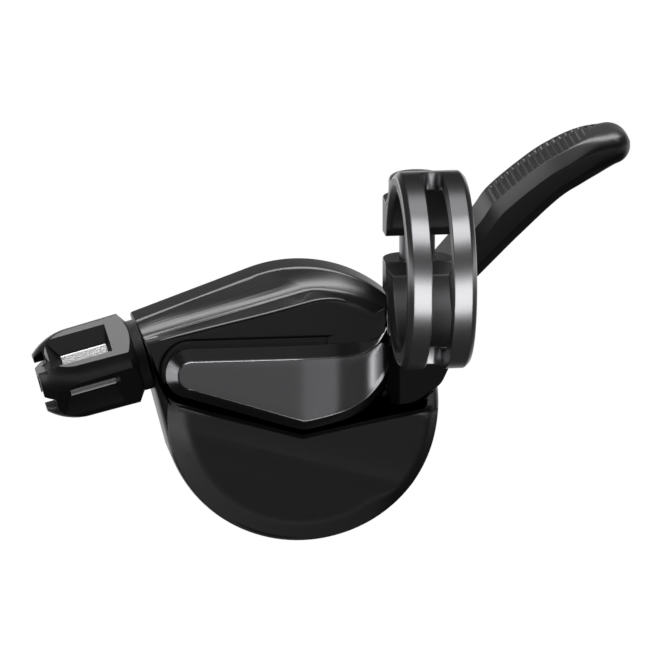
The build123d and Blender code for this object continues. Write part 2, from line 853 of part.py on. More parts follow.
with BuildPart() as drive_pawl_spring:
    with BuildLine() as drive_coil:
        Helix(
            pitch=pawl_spring_pitch,
            height=lever_plate_y - ratchet_back - 2 * (pawl_spring_wire + slip),
            radius=pawl_spring_r,
            center=(drive_pivot[0], ratchet_back + pawl_spring_wire + slip, drive_pivot[1]),
            direction=(0, 1, 0),
        )
    with BuildSketch(Plane(origin=drive_coil.line @ 0, x_dir=(0, 1, 0), z_dir=drive_coil.line % 0)):
        Rectangle(2 * pawl_spring_wire, 2 * pawl_spring_wire)
    sweep(is_frenet=True)
drive_pawl_spring.part.label = "drive_pawl_spring"
export_step(drive_pawl_spring.part, "parts/drive_pawl_spring.step")

# Thumb lever: a hub behind the lid, a straight arm and the curved paddle
with BuildPart() as main_lever:
    with BuildSketch(facing(lever_y)):
        with Locations((pod_x, pod_z)):
            Circle(hub_r)
        with BuildLine():
            Polyline(
                lever_point(0, arm_high),
                lever_point(arm_reach, arm_high),
                lever_point(arm_reach, arm_low),
                lever_point(0, arm_low),
                close=True,
            )
        make_face()
    extrude(amount=-lever_t)
    loft([paddle_section(paddle_front, 1), paddle_section(paddle_front + bevel_depth, 0)], ruled=True)
    extrude(paddle_section(paddle_front + bevel_depth, 0), amount=paddle_front + bevel_depth - lever_back)
    with BuildSketch(facing(lever_y)):
        with Locations((pod_x, pod_z)):
            Circle(boss_r)
    extrude(amount=lever_y - lever_plate_back)
    with BuildSketch(facing(lever_plate_back)):
        with Locations((pod_x, pod_z)):
            Rectangle(drive_square, drive_square)
    extrude(amount=lever_plate_t)
    with BuildSketch(facing(lever_y)):
        with Locations((pod_x, pod_z)):
            Circle(lever_spring_r + lever_spring_wire + gap)
            Circle(lever_spring_r - lever_spring_wire - gap, mode=Mode.SUBTRACT)
    extrude(amount=-lever_spring_well, mode=Mode.SUBTRACT)
    with BuildSketch(facing(lever_plate_y)):
        with Locations((pod_x, pod_z)):
            Circle(axle_r + slip)
    extrude(amount=lever_plate_y - lever_back, mode=Mode.SUBTRACT)
    with BuildSketch(facing(lever_y)):
        with Locations((pod_x, pod_z)):
            Circle(bush_r)
    extrude(amount=-lever_t, mode=Mode.SUBTRACT)
main_lever.part.label = "main_lever"
export_step(main_lever.part, "parts/main_lever.step")

with BuildPart() as lever_bushing:
    with BuildSketch(facing(lever_y)):
        with Locations((pod_x, pod_z)):
            Circle(bush_r - slip)
            Circle(axle_r + slip, mode=Mode.SUBTRACT)
    extrude(amount=-lever_t)
lever_bushing.part.label = "lever_bushing"
export_step(lever_bushing.part, "parts/lever_bushing.step")

with BuildPart() as lever_return_spring:
    with BuildLine() as lever_coil:
        Helix(
            pitch=lever_spring_pitch,
            height=lever_y + lever_spring_well - rear_y - 2 * (lever_spring_wire + slip),
            radius=lever_spring_r,
            center=(pod_x, rear_y + lever_spring_wire + slip, pod_z),
            direction=(0, 1, 0),
        )
    with BuildSketch(Plane(origin=lever_coil.line @ 0, x_dir=(0, 1, 0), z_dir=lever_coil.line % 0)):
        Rectangle(2 * lever_spring_wire, 2 * lever_spring_wire)
    sweep(is_frenet=True)
lever_return_spring.part.label = "lever_return_spring"
export_step(lever_return_spring.part, "parts/lever_return_spring.step")

# Barrel adjuster: hollow stem, caged barrel with windows and a notched end, and its spring
with BuildPart() as adjuster_stem:
    with BuildSketch(adjuster_plane(-stem_thread)):
        Circle(stem_r)
        Circle(stem_bore_r, mode=Mode.SUBTRACT)
    extrude(amount=stem_thread + stem_end)
adjuster_stem.part.label = "adjuster_stem"
export_step(adjuster_stem.part, "parts/adjuster_stem.step")

with BuildPart() as adjuster_barrel:
    with BuildSketch(adjuster_profile):
        with BuildLine():
            Polyline(
                (barrel_straight, barrel_waist_r),
                (barrel_shoulder, barrel_r),
                (barrel_start, barrel_neck_r),
                (barrel_start, spring_well_r),
                (spring_well, spring_well_r),
                (spring_well, stem_r + slip),
                (cage_from, stem_r + slip),
                (cage_from, cage_r),
                (cage_to, cage_r),
                (cage_to, stem_r + slip),
                (stem_end + slip, stem_r + slip),
                (stem_end + slip, stem_bore_r),
                (seat_from, stem_bore_r),
                (seat_from, housing_seat_r),
                (barrel_end, housing_seat_r),
                (barrel_end, barrel_end_r),
            )
            ThreePointArc((barrel_end, barrel_end_r), barrel_bow, (barrel_straight, barrel_waist_r))
        make_face()
    revolve(axis=adjuster_axis)
    for side in range(window_count):
        turn = window_turn + side * 360 / window_count
        with BuildSketch(barrel_side(turn, barrel_flat)):
            with Locations((barrel_end / 2, 0)):
                Rectangle(barrel_end, 2 * barrel_r)
        extrude(amount=barrel_r, mode=Mode.SUBTRACT)
        with BuildSketch(barrel_side(turn, barrel_r)):
            with Locations(((window_from + window_to) / 2, 0)):
                Rectangle(window_to - window_from, window_w)
        with BuildSketch(barrel_side(turn, cage_r - gap)):
            with Locations(((slot_from + slot_to) / 2, 0)):
                Rectangle(slot_to - slot_from, slot_w)
        loft(ruled=True, mode=Mode.SUBTRACT)
        with BuildSketch(barrel_side(turn, housing_seat_r / 2)):
            with Locations((barrel_end, 0)):
                Rectangle(2 * notch_depth, notch_w)
        extrude(amount=barrel_r, mode=Mode.SUBTRACT)
adjuster_barrel.part.label = "adjuster_barrel"
export_step(adjuster_barrel.part, "parts/adjuster_barrel.step")

with BuildPart() as adjuster_spring:
    with BuildLine() as barrel_coil:
        Helix(
            pitch=barrel_spring_pitch,
            height=spring_well - 2 * (barrel_spring_wire + slip),
            radius=barrel_spring_r,
            center=adjuster_plane(barrel_spring_wire + slip).origin,
            direction=adjuster_out,
        )
    with BuildSketch(Plane(origin=barrel_coil.line @ 0, x_dir=adjuster_out, z_dir=barrel_coil.line % 0)):
        Rectangle(2 * barrel_spring_wire, 2 * barrel_spring_wire)
    sweep(is_frenet=True)
adjuster_spring.part.label = "adjuster_spring"
export_step(adjuster_spring.part, "parts/adjuster_spring.step")

# Plug in the hole through which the cable is threaded
with BuildPart() as cable_port_plug:
    with BuildSketch(port_plane(port_reach - port_sink)):
        Circle(port_r)
    extrude(amount=-plug_len)
    with BuildSketch(port_plane(port_reach - port_sink)):
        Rectangle(plug_slot, 2 * port_r)
    extrude(amount=-plug_len / 2, mode=Mode.SUBTRACT)
cable_port_plug.part.label = "cable_port_plug"
export_step(cable_port_plug.part, "parts/cable_port_plug.step")
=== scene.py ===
import json
import math

import bpy
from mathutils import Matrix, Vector

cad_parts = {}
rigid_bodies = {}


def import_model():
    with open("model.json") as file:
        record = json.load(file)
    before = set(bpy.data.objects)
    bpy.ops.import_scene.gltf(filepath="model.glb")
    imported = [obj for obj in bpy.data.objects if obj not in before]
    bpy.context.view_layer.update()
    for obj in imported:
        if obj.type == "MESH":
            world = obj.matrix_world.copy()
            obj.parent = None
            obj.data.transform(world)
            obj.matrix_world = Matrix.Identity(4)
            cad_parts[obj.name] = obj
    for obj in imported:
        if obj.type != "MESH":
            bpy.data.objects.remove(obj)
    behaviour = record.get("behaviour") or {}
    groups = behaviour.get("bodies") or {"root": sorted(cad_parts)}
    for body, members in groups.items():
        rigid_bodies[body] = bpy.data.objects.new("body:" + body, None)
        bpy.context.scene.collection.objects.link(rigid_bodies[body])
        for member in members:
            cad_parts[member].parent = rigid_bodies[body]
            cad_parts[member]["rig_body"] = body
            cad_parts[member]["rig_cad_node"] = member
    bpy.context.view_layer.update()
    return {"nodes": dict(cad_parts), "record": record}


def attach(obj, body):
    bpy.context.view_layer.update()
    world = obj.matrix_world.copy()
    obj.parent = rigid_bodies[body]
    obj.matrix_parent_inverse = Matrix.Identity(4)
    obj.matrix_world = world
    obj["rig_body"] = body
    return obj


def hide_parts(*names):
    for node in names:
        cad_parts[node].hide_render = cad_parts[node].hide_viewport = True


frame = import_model()
nodes = frame["nodes"]
bodies = frame["record"]["behaviour"]["bodies"]
bodyOf = {node: body for body, members in bodies.items() for node in members}
slotOf = {part["node"]: part["material_slot"] for part in frame["record"]["subparts"]}
mm = 0.001
tiny = 1e-6
print("frame loaded:", len(nodes), "nodes")


# Materials: every finish has a fine grain in its roughness and its bump

def newMaterial(name):
    material = bpy.data.materials.new(name)
    material.use_nodes = True
    return material, material.node_tree.nodes, material.node_tree.links


def addGrain(parts, links, shader, grain):
    place = parts.new("ShaderNodeTexCoord")
    noise = parts.new("ShaderNodeTexNoise")
    noise.inputs["Scale"].default_value = grain["scale"]
    noise.inputs["Detail"].default_value = grain["detail"]
    links.new(place.outputs["Object"], noise.inputs["Vector"])
    spread = parts.new("ShaderNodeMapRange")
    spread.inputs["To Min"].default_value = grain["roughness"] - grain["spread"]
    spread.inputs["To Max"].default_value = grain["roughness"] + grain["spread"]
    links.new(noise.outputs["Fac"], spread.inputs["Value"])
    links.new(spread.outputs["Result"], shader.inputs["Roughness"])
    bump = parts.new("ShaderNodeBump")
    bump.inputs["Strength"].default_value = grain["bump"]
    bump.inputs["Distance"].default_value = grain["depth"]
    links.new(noise.outputs["Fac"], bump.inputs["Height"])
    links.new(bump.outputs["Normal"], shader.inputs["Normal"])


def mouldedPlastic(name, colour, grain):
    material, parts, links = newMaterial(name)
    shader = parts["Principled BSDF"]
    shader.inputs["Base Color"].default_value = (*colour, 1)
    shader.inputs["Specular IOR Level"].default_value = grain["gloss"]
    addGrain(parts, links, shader, grain)
    return material


def satinMetal(name, colour, grain):
    material, parts, links = newMaterial(name)
    shader = parts["Principled BSDF"]
    shader.inputs["Base Color"].default_value = (*colour, 1)
    shader.inputs["Metallic"].default_value = 1
    addGrain(parts, links, shader, grain)
    return material


shellGrain = {"scale": 5200, "detail": 3, "roughness": 0.34, "spread": 0.05, "bump": 0.16, "depth": 0.00003,
              "gloss": 0.5}
barrelGrain = {"scale": 4200, "detail": 2, "roughness": 0.32, "spread": 0.04, "bump": 0.1, "depth": 0.00002,
               "gloss": 0.5}
alloyGrain = {"scale": 6500, "detail": 4, "roughness": 0.30, "spread": 0.05, "bump": 0.12, "depth": 0.00002}
steelGrain = {"scale": 2600, "detail": 2, "roughness": 0.20, "spread": 0.06, "bump": 0.06, "depth": 0.00002}
neckGrain = dict(shellGrain, roughness=0.5, gloss=0.05)
sleeveGrain = dict(steelGrain, roughness=0.25, spread=0.01, bump=0.0)

shellBlack = mouldedPlastic("shellBlack", (0.0045, 0.0045, 0.005), shellGrain)
lidBlack = mouldedPlastic("lidBlack", (0.008, 0.008, 0.009), dict(shellGrain, roughness=0.5))
leverBlack = mouldedPlastic("leverBlack", (0.007, 0.007, 0.0075), dict(shellGrain, roughness=0.38))
barrelBlack = mouldedPlastic("barrelBlack", (0.008, 0.008, 0.009), barrelGrain)
drumGrey = mouldedPlastic("drumGrey", (0.05, 0.05, 0.055), barrelGrain)
plugBlack = mouldedPlastic("plugBlack", (0.012, 0.012, 0.012), dict(shellGrain, roughness=0.6))
ringGrey = satinMetal("ringGrey", (0.32, 0.32, 0.33), alloyGrain)
# Painted shade: the bore is the ring's own alloy; its higher roughness is its finish, its darker colour is
# painted shade
borePaintedShade = satinMetal("borePaintedShade", (0.09, 0.09, 0.093), dict(alloyGrain, roughness=0.4))
# Painted shade: the arm is the ring's alloy; this darker copy paints the shade on its face
armPaintedShade = satinMetal("armPaintedShade", (0.08, 0.08, 0.083), dict(alloyGrain, roughness=0.24))
# Painted shade: the neck is the bracket's own alloy; this near-black finish paints the shade under the ring
neckPaintedShade = mouldedPlastic("neckPaintedShade", (0.0026, 0.0026, 0.0028), neckGrain)
stemSteel = satinMetal("stemSteel", (0.82, 0.82, 0.82), steelGrain)
sleeveSteel = satinMetal("sleeveSteel", (0.82, 0.82, 0.82), sleeveGrain)
darkSteel = satinMetal("darkSteel", (0.24, 0.24, 0.25), dict(steelGrain, roughness=0.3))
plateSteel = satinMetal("plateSteel", (0.55, 0.55, 0.56), dict(steelGrain, roughness=0.35))
springSteel = satinMetal("springSteel", (0.45, 0.45, 0.46), steelGrain)
bushBronze = satinMetal("bushBronze", (0.45, 0.32, 0.16), dict(steelGrain, roughness=0.35))

slotFinish = {
    "housing_plastic": shellBlack,
    "lid_plastic": lidBlack,
    "clamp_alloy": ringGrey,
    "lever_plastic": leverBlack,
    "barrel_plastic": barrelBlack,
    "stem_steel": stemSteel,
    "bolt_steel": darkSteel,
    "plate_steel": plateSteel,
    "spring_steel": springSteel,
    "drum_plastic": drumGrey,
    "bush_bronze": bushBronze,
    "plug_rubber": plugBlack,
}
for nodeName, node in nodes.items():
    node.data.materials.clear()
    node.data.materials.append(slotFinish[slotOf[nodeName]])
print("finishes ready:", len(slotFinish))


# Tools of the bench: copies of solids with soft edges, cuts, prisms and drawn meshes

def pickOnly(piece):
    bpy.ops.object.select_all(action="DESELECT")
    piece.select_set(True)
    bpy.context.view_layer.objects.active = piece


def mergedCopy(nodeName, pieceName, flat):
    source = nodes[nodeName]
    piece = source.copy()
    piece.data = source.data.copy()
    piece.name = pieceName
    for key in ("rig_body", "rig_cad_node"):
        del piece[key]
    piece.parent = None
    bpy.context.scene.collection.objects.link(piece)
    pickOnly(piece)
    bpy.ops.mesh.customdata_custom_splitnormals_clear()
    bpy.ops.object.mode_set(mode="EDIT")
    bpy.ops.mesh.select_all(action="SELECT")
    bpy.ops.mesh.remove_doubles(threshold=tiny)
    bpy.ops.mesh.dissolve_limited(angle_limit=math.radians(flat))
    bpy.ops.object.mode_set(mode="OBJECT")
    return piece


def softenEdges(piece, edges):
    pickOnly(piece)
    soft = piece.modifiers.new("softEdges", "BEVEL")
    soft.width = edges["width"] * mm
    soft.segments = edges["steps"]
    soft.limit_method = "ANGLE"
    soft.angle_limit = math.radians(edges["angle"])
    soft.use_clamp_overlap = edges["clamp"]
    soft.miter_outer = "MITER_ARC"
    bpy.ops.object.modifier_apply(modifier=soft.name)
    bpy.ops.object.shade_smooth_by_angle(angle=math.radians(edges["smooth"]))
    even = piece.modifiers.new("evenFaces", "WEIGHTED_NORMAL")
    even.keep_sharp = True
    bpy.ops.object.modifier_apply(modifier=even.name)


def standFor(piece, nodeName):
    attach(piece, bodyOf[nodeName])
    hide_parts(nodeName)


def smoothThrough(points, count):
    ends = [points[0], *points, points[-1]]
    spots = []
    spans = len(points) - 1
    for step in range(count + 1):
        at = step / count * spans
        leg = min(int(at), spans - 1)
        f = at - leg
        a, b, c, d = (Vector(p) for p in ends[leg:leg + 4])
        bow = (2 * a - 5 * b + 4 * c - d) * f ** 2 + (3 * b - a - 3 * c + d) * f ** 3
        spots.append(0.5 * (2 * b + (c - a) * f + bow))
    return spots


def easeIn(value):
    value = min(1.0, max(0.0, value))
    return value * value * (3 - 2 * value)


def readAlong(curve, x):
    for a, b in zip(curve, curve[1:]):
        if x <= b[0]:
            return a[1] + (b[1] - a[1]) * (x - a[0]) / (b[0] - a[0])
    return curve[-1][1]


def meshPiece(pieceName, points, faces, finish, smooth=30):
    mesh = bpy.data.meshes.new(pieceName)
    mesh.from_pydata([(x * mm, y * mm, z * mm) for x, y, z in points], [], faces)
    piece = bpy.data.objects.new(pieceName, mesh)
    bpy.context.scene.collection.objects.link(piece)
    piece.data.materials.append(finish)
    pickOnly(piece)
    bpy.ops.object.mode_set(mode="EDIT")
    bpy.ops.mesh.select_all(action="SELECT")
    bpy.ops.mesh.normals_make_consistent(inside=False)
    bpy.ops.object.mode_set(mode="OBJECT")
    bpy.ops.object.shade_smooth_by_angle(angle=math.radians(smooth))
    return piece


def prismPiece(pieceName, care, finish):
    corners = len(care["outline"])
    points = [(x, depth, z) for depth in (care["front"], care["floor"]) for x, z in care["outline"]]
    faces = [tuple(range(corners)), tuple(range(corners, 2 * corners))]
    faces += [(k, (k + 1) % corners, corners + (k + 1) % corners, corners + k) for k in range(corners)]
    return meshPiece(pieceName, points, faces, finish)


def cutAway(piece, cutter):
    pickOnly(piece)
    cut = piece.modifiers.new("cutAway", "BOOLEAN")
    cut.operation = "DIFFERENCE"
    cut.object = cutter
    bpy.ops.object.modifier_apply(modifier=cut.name)
    bpy.data.objects.remove(cutter)


def boxCutter(middle, size, lean):
    bpy.ops.object.select_all(action="DESELECT")
    bpy.ops.mesh.primitive_cube_add(size=1, location=Vector(middle) * mm, rotation=(0, lean, 0))
    cutter = bpy.context.object
    cutter.scale = Vector(size) * mm
    return cutter


def joinInto(whole, piece):
    bpy.ops.object.select_all(action="DESELECT")
    piece.select_set(True)
    whole.select_set(True)
    bpy.context.view_layer.objects.active = whole
    bpy.ops.object.join()


# Housing shell: soft edges, the pocket of the bracket's arm and a shoulder that closes it
shellEdges = {"flat": 0.3, "width": 0.4, "steps": 3, "angle": 26, "smooth": 30, "clamp": False}
housingShell = mergedCopy("main_housing", "housingShell", shellEdges["flat"])
pocketCare = {
    "outline": ((-16.6, -25.4), (0.4, -22.0), (0.4, -19.5), (-7.0, -19.5), (-16.6, -24.4)),
    "front": 8.0, "floor": 11.0,
}
cutAway(housingShell, prismPiece("pocketCutter", pocketCare, shellBlack))
softenEdges(housingShell, shellEdges)
shoulderCare = {
    "outline": ((-13.2, -11.7), (-10.06, -10.5), (-8.3, -9.2), (-6.5, -8.4), (-5.2, -7.9), (-5.2, -11.1),
                (-6.2, -11.9), (-7.94, -12.7), (-10.76, -13.1), (-13.2, -13.0)),
    "front": 9.79, "floor": 11.0,
}
joinInto(housingShell, prismPiece("shoulderFill", shoulderCare, shellBlack))

# Crown bead: a fine raised line that lies on the lower ridge of the crown
beadCare = {
    "path": ((-38.5, -11.85), (-33.36, -10.62), (-27.71, -9.33), (-22.06, -8.07), (-17.82, -7.03),
             (-14.99, -6.35), (-12.87, -6.18), (-11.11, -6.46), (-9.76, -7.07)),
    "thick": 0.28, "tipThick": 0.05, "taper": 0.12, "sunk": 0.12, "facing": (0, -0.85, 0.53),
    "stations": 96, "sides": 16, "castFrom": -30, "smooth": 60,
}
beadSides, beadEnd = beadCare["sides"], beadCare["stations"]
beadAnchors = []
for x, z in beadCare["path"]:
    cast = housingShell.ray_cast(Vector((x, beadCare["castFrom"], z)) * mm, Vector((0, 1, 0)))
    beadAnchors.append(cast[1] / mm)
beadSpots = smoothThrough(beadAnchors, beadEnd)
beadPoints, beadFaces = [], []
beadOut = Vector(beadCare["facing"]).normalized()
for station, spot in enumerate(beadSpots):
    along = beadSpots[min(station + 1, beadEnd)] - beadSpots[max(station - 1, 0)]
    across = along.normalized().cross(beadOut).normalized()
    fromTip = easeIn(min(station, beadEnd - station) / beadEnd / beadCare["taper"])
    thick = beadCare["thick"] * (beadCare["tipThick"] + (1 - beadCare["tipThick"]) * fromTip)
    middle = spot - beadOut * beadCare["sunk"]
    for side in range(beadSides):
        angle = 2 * math.pi * side / beadSides
        beadPoints.append(middle + (beadOut * math.cos(angle) + across * math.sin(angle)) * thick)
for station in range(beadEnd):
    a, b = station * beadSides, (station + 1) * beadSides
    for side in range(beadSides):
        after = (side + 1) % beadSides
        beadFaces.append((a + side, a + after, b + after, b + side))
beadFaces.append(tuple(range(beadSides)))
beadFaces.append(tuple(range(beadEnd * beadSides, len(beadPoints))))
crownBead = meshPiece("crownBead", beadPoints, beadFaces, shellBlack, beadCare["smooth"])
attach(crownBead, bodyOf["main_housing"])
print("crown bead:", len(crownBead.data.polygons), "faces")

# Raised face of the drum pod, with a soft ridge across it and a broad rim
podCare = {
    "centre": (-16.7, -22.0), "outer": 19.0, "face": 9.8, "fall": (-0.02, -0.07, 7.436),
    "lip": ((-35.3, -20.2), (-16.7, -25.6), (1.2, -22.1)), "lipEdge": 0.5,
    "rise": 0.75, "rimLeft": 2.8, "rimRight": 1.3, "rimTurn": (-8.0, -2.0),
    "ridge": ((-34.0, -26.2), (-3.6, -34.0)), "ridgeRise": 0.12, "ridgeWidth": 2.4, "rimSoft": 0.2,
    "middle": (-16.7, -31.0), "spokes": 192, "steps": 30, "crowd": 0.7, "sunk": 0.05, "root": 0.5,
    "smooth": 40,
}


def softCorner(value, soft):
    if value < 1 - soft:
        return value
    return 1 - max(0.0, 1 + soft - value) ** 2 / (4 * soft)


def awayFromLine(spot, a, b):
    along = (b - a).normalized()
    return along[0] * (spot - a)[1] - along[1] * (spot - a)[0]


podPoints, podFaces = [], []
podCentre, podMiddle = Vector(podCare["centre"]), Vector(podCare["middle"])
lipLeft, lipLow, lipRight = (Vector(corner) for corner in podCare["lip"])
ridgeLeft, ridgeRight = (Vector(end) for end in podCare["ridge"])
for spoke in range(podCare["spokes"]):
    angle = 2 * math.pi * spoke / podCare["spokes"]
    ray = Vector((math.cos(angle), math.sin(angle)))
    lipA, lipB = (lipLeft, lipLow) if ray[0] < 0 else (lipLow, lipRight)
    toCentre = podMiddle - podCentre
    half = ray.dot(toCentre)
    reach = -half + math.sqrt(half ** 2 - toCentre.length_squared + podCare["outer"] ** 2)
    climb = awayFromLine(podMiddle + ray, lipA, lipB) - awayFromLine(podMiddle, lipA, lipB)
    if climb > 0:
        reach = min(reach, -awayFromLine(podMiddle, lipA, lipB) / climb)
    for step in range(1, podCare["steps"] + 1):
        spot = podMiddle + ray * reach * (step / podCare["steps"]) ** podCare["crowd"]
        turnShare = (spot[0] - podCare["rimTurn"][0]) / (podCare["rimTurn"][1] - podCare["rimTurn"][0])
        rim = podCare["rimLeft"] + (podCare["rimRight"] - podCare["rimLeft"]) * easeIn(turnShare)
        rimEase = softCorner((podCare["outer"] - (spot - podCentre).length) / rim, podCare["rimSoft"])
        lipEase = easeIn(-awayFromLine(spot, lipA, lipB) / podCare["lipEdge"])
        ridge = math.exp(-(awayFromLine(spot, ridgeLeft, ridgeRight) / podCare["ridgeWidth"]) ** 2)
        lift = rimEase * lipEase * (podCare["rise"] + podCare["ridgeRise"] * ridge)
        slopeX, slopeZ, base = podCare["fall"]
        flat = max(podCare["face"], slopeX * spot[0] + slopeZ * spot[1] + base)
        podPoints.append((spot[0], flat + podCare["sunk"] - lift, spot[1]))
    podPoints.append((spot[0], flat + podCare["root"], spot[1]))
ringSize = podCare["steps"] + 1
for spoke in range(podCare["spokes"]):
    a, b = spoke * ringSize, (spoke + 1) % podCare["spokes"] * ringSize
    for step in range(podCare["steps"]):
        podFaces.append((a + step, a + step + 1, b + step + 1, b + step))
podFaces.append(tuple(spoke * ringSize for spoke in range(podCare["spokes"])))
podFaces.append(tuple(spoke * ringSize + podCare["steps"] for spoke in range(podCare["spokes"])))
podFace = meshPiece("podFace", podPoints, podFaces, shellBlack, podCare["smooth"])
joinInto(housingShell, podFace)
standFor(housingShell, "main_housing")
print("housing shell:", len(housingShell.data.polygons), "faces")

# Clamp ring: cut free of the arm, notched beside it, with painted shade on it: near-black on the neck, a
# darker grey in the bore
ringEdges = {"flat": 0.3, "width": 0.2, "steps": 3, "angle": 26, "smooth": 30, "clamp": False}
bracketZones = {
    "ring": 13.9, "bore": 12.4, "neckTop": -9.0, "armCut": -5.5,
    "notchAt": (-6.9, 7.3, -16.75), "notchSize": (4.06, 6.6, 18.5),
}
clampRing = mergedCopy("clamp_bracket", "clampRing", ringEdges["flat"])
bpy.ops.object.mode_set(mode="EDIT")
bpy.ops.mesh.select_all(action="SELECT")
bpy.ops.mesh.bisect(plane_co=(bracketZones["armCut"] * mm, 0, 0), plane_no=(1, 0, 0),
                    use_fill=True, clear_inner=True)
bpy.ops.object.mode_set(mode="OBJECT")
cutAway(clampRing, boxCutter(bracketZones["notchAt"], bracketZones["notchSize"], 0))
neckCare = {
    "outline": ((-9.0, 10.6), (-4.87, 10.6), (-3.2, 8.0), (-3.2, 7.05), (-9.0, 7.05)),
    "front": -12.9, "floor": -27.0,
}
neckCutter = prismPiece("neckCutter", neckCare, neckPaintedShade)
for point in neckCutter.data.vertices:
    point.co = (point.co[0], point.co[2], point.co[1])  # stood upright, its depth is its height
neckCutter.data.flip_normals()
cutAway(clampRing, neckCutter)
softenEdges(clampRing, ringEdges)
clampRing.data.materials.append(neckPaintedShade)
clampRing.data.materials.append(borePaintedShade)
for face in clampRing.data.polygons:
    x, y, z = (value / mm for value in face.center)
    # Painted shade: outer faces below the neck's top take the near-black neck finish
    if math.hypot(y, z) > bracketZones["ring"] and z < bracketZones["neckTop"]:
        face.material_index = 1
    # Painted shade: inward faces of the bore take the darker bore grey
    elif math.hypot(y, z) < bracketZones["bore"] and y * face.normal[1] + z * face.normal[2] < 0:
        face.material_index = 2
standFor(clampRing, "clamp_bracket")
print("clamp ring:", len(clampRing.data.polygons), "faces")

# Arm of the bracket: a tapered finger with sloped sides that folds back into the neck
armCare = {
    "tip": (-32.5, -16.05), "tipRadius": 1.8, "tipSteps": 9, "tipFrom": 12,
    "upper": ((-32.5, -14.25), (-22.0, -14.27), (-12.0, -14.27), (-9.8, -14.2), (-8.2, -13.94),
              (-6.4, -13.0), (-5.3, -11.6), (-3.9, -9.4)),
    "lower": ((-32.5, -17.85), (-25.0, -20.23), (-17.6, -22.6), (-16.0, -22.75), (-11.06, -21.66),
              (-8.23, -20.3), (-6.1, -18.4), (-4.9, -16.6), (-3.9, -15.0)),
    "face": 7.2,
    "bend": ((-40, 0), (-18.2, 0), (-16.6, 5), (-12.8, 5.5), (-11.2, 11), (-8.6, 12),
             (-7.6, 19), (-6.9, 25), (-6.0, 29), (-4.9, 32), (-3.8, 32)),
    "slope": ((0.08, 0.01), (0.18, 0.05), (0.3, 0.13), (0.42, 0.24), (0.52, 0.34),
              (1.6, 1.42), (1.75, 1.57), (1.75, 3.4)),
    "stations": 64, "rows": 6, "endSlope": 0.15, "fineStep": 0.05, "edgeSteps": 200, "smooth": 40,
}
depth, x = armCare["face"], armCare["bend"][0][0]
armProfile = []
while x < armCare["bend"][-1][0]:
    armProfile.append((x, depth))
    depth += armCare["fineStep"] * math.tan(math.radians(readAlong(armCare["bend"], x)))
    x += armCare["fineStep"]
upperEdge = smoothThrough(armCare["upper"], armCare["edgeSteps"])
lowerEdge = smoothThrough(armCare["lower"], armCare["edgeSteps"])
tipX, tipZ = armCare["tip"]
armColumns = []
for step in range(armCare["tipSteps"]):
    angle = math.radians(armCare["tipFrom"] + (90 - armCare["tipFrom"]) * step / armCare["tipSteps"])
    swing = armCare["tipRadius"] * math.sin(angle)
    armColumns.append((tipX - armCare["tipRadius"] * math.cos(angle), tipZ + swing, tipZ - swing))
armEnd = armCare["upper"][-1][0]
for step in range(armCare["stations"] + 1):
    x = tipX + (armEnd - tipX) * step / armCare["stations"]
    armColumns.append((x, readAlong(upperEdge, x), readAlong(lowerEdge, x)))
rows = armCare["rows"]
armPoints = [(x, readAlong(armProfile, x), high + (low - high) * row / rows)
             for x, high, low in armColumns for row in range(rows + 1)]
lastColumn = len(armColumns) - 1
armFaces = []
for column in range(lastColumn):
    a, b = column * (rows + 1), (column + 1) * (rows + 1)
    for row in range(rows):
        armFaces.append((a + row, b + row, b + row + 1, a + row + 1))
armLoop = [column * (rows + 1) for column in range(lastColumn + 1)]
armLoop += [lastColumn * (rows + 1) + row for row in range(1, rows)]
armLoop += [column * (rows + 1) + rows for column in range(lastColumn, -1, -1)]
armLoop += [row for row in range(rows - 1, 0, -1)]
inner = armLoop
for out, down in armCare["slope"]:
    outer = []
    for index, corner in enumerate(armLoop):
        before, after = armPoints[armLoop[index - 1]], armPoints[armLoop[(index + 1) % len(armLoop)]]
        side = Vector((before[2] - after[2], after[0] - before[0])).normalized()
        x, y, z = armPoints[corner]
        shift = out * (armCare["endSlope"] if corner // (rows + 1) == lastColumn else 1)
        outer.append(len(armPoints))
        armPoints.append((x + side[0] * shift, y + down, z + side[1] * shift))
    for index in range(len(armLoop)):
        after = (index + 1) % len(armLoop)
        armFaces.append((inner[index], inner[after], outer[after], outer[index]))
    inner = outer
armFaces.append(tuple(inner))
clampArm = meshPiece("clampArm", armPoints, armFaces, armPaintedShade, armCare["smooth"])
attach(clampArm, bodyOf["clamp_bracket"])
print("clamp arm:", len(clampArm.data.polygons), "faces")

# Barrel adjuster: the cage with two slots across its end, a seal at its root and the bright sleeve inside
cageEdges = {"flat": 0.3, "width": 0.26, "steps": 3, "angle": 26, "smooth": 30, "clamp": True}
barrelCare = {
    "root": (-38.712, 14.2, -14.368), "out": (-0.968148, 0.0, -0.25038), "up": (-0.25038, 0.0, 0.968148),
    "slotAt": 14.6, "slotSize": (2.0, 14.0, 1.0), "slotRise": 2.6,
    "seal": (-0.3, 1.3, 5.0), "sleeve": (4.45, 11.15, 3.25),  # start, end and radius along the axis
    "sides": 256, "dish": 0.6, "capFacing": 0.9, "smooth": 40,
}
barrelRoot, barrelOut, barrelUp = (Vector(barrelCare[key]) for key in ("root", "out", "up"))
barrelLean = math.atan2(barrelOut[2], -barrelOut[0])
adjusterCage = mergedCopy("adjuster_barrel", "adjusterCage", cageEdges["flat"])
for side in (1, -1):
    middle = barrelRoot + barrelOut * barrelCare["slotAt"] + barrelUp * barrelCare["slotRise"] * side
    cutAway(adjusterCage, boxCutter(middle, barrelCare["slotSize"], barrelLean))
softenEdges(adjusterCage, cageEdges)
standFor(adjusterCage, "adjuster_barrel")


